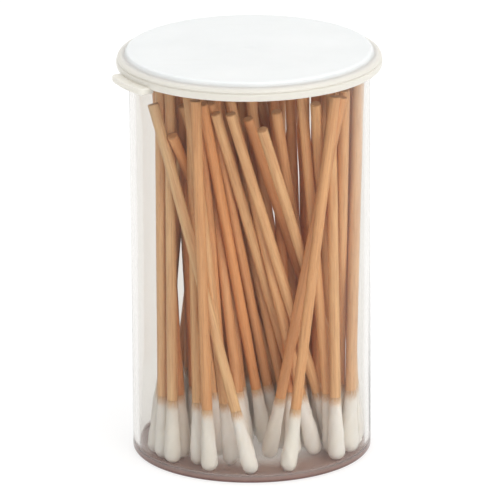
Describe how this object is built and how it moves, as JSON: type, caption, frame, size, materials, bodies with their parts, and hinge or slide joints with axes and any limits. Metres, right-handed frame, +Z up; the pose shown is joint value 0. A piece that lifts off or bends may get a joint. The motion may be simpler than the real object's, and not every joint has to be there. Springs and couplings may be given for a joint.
{
  "type": "vial of swab sticks",
  "caption": "Clear round plastic vial with a flat floor and a white push-on cap with a lift tab, filled with wooden swab sticks standing on their cotton tips.",
  "frame": {"origin": "centre of the underside of the vial's floor, where it rests", "axes": "+Z up the vial towards the cap, -Y towards the viewer of the picture, +X to the viewer's right; the cap's lift tab is at the front left"},
  "size_m": [0.0531, 0.0524, 0.0825],
  "materials": {
    "clear_plastic": "clear moulded polystyrene, glossy",
    "cap_plastic": "white polyethylene, smooth and slightly soft",
    "birch": "plain turned birch, fine lengthwise grain",
    "cotton": "wound cotton fibre, soft and matt"
  },
  "bodies": {
    "vial": {"vial": "clear_plastic", "wood_sticks_01": "birch", "wood_sticks_02": "birch", "wood_sticks_03": "birch", "wood_sticks_04": "birch", "wood_sticks_05": "birch", "wood_sticks_06": "birch", "wood_sticks_07": "birch", "wood_sticks_08": "birch", "wood_sticks_09": "birch", "wood_sticks_10": "birch", "wood_sticks_11": "birch", "wood_sticks_12": "birch", "wood_sticks_13": "birch", "wood_sticks_14": "birch", "wood_sticks_15": "birch", "wood_sticks_16": "birch", "wood_sticks_17": "birch", "wood_sticks_18": "birch", "wood_sticks_19": "birch", "wood_sticks_20": "birch", "wood_sticks_21": "birch", "wood_sticks_22": "birch", "wood_sticks_23": "birch", "cotton_tips_01": "cotton", "cotton_tips_02": "cotton", "cotton_tips_03": "cotton", "cotton_tips_04": "cotton", "cotton_tips_05": "cotton", "cotton_tips_06": "cotton", "cotton_tips_07": "cotton", "cotton_tips_08": "cotton", "cotton_tips_09": "cotton", "cotton_tips_10": "cotton", "cotton_tips_11": "cotton", "cotton_tips_12": "cotton", "cotton_tips_13": "cotton", "cotton_tips_14": "cotton", "cotton_tips_15": "cotton", "cotton_tips_16": "cotton", "cotton_tips_17": "cotton", "cotton_tips_18": "cotton", "cotton_tips_19": "cotton", "cotton_tips_20": "cotton", "cotton_tips_21": "cotton", "cotton_tips_22": "cotton", "cotton_tips_23": "cotton"},
    "cap": {"cap": "cap_plastic"}
  },
  "joints": [
    {"name": "cap_lift", "type": "slide", "parent": "vial", "child": "cap", "axis": [0, 0, 1], "range_m": [0, 0.08]}
  ]
}
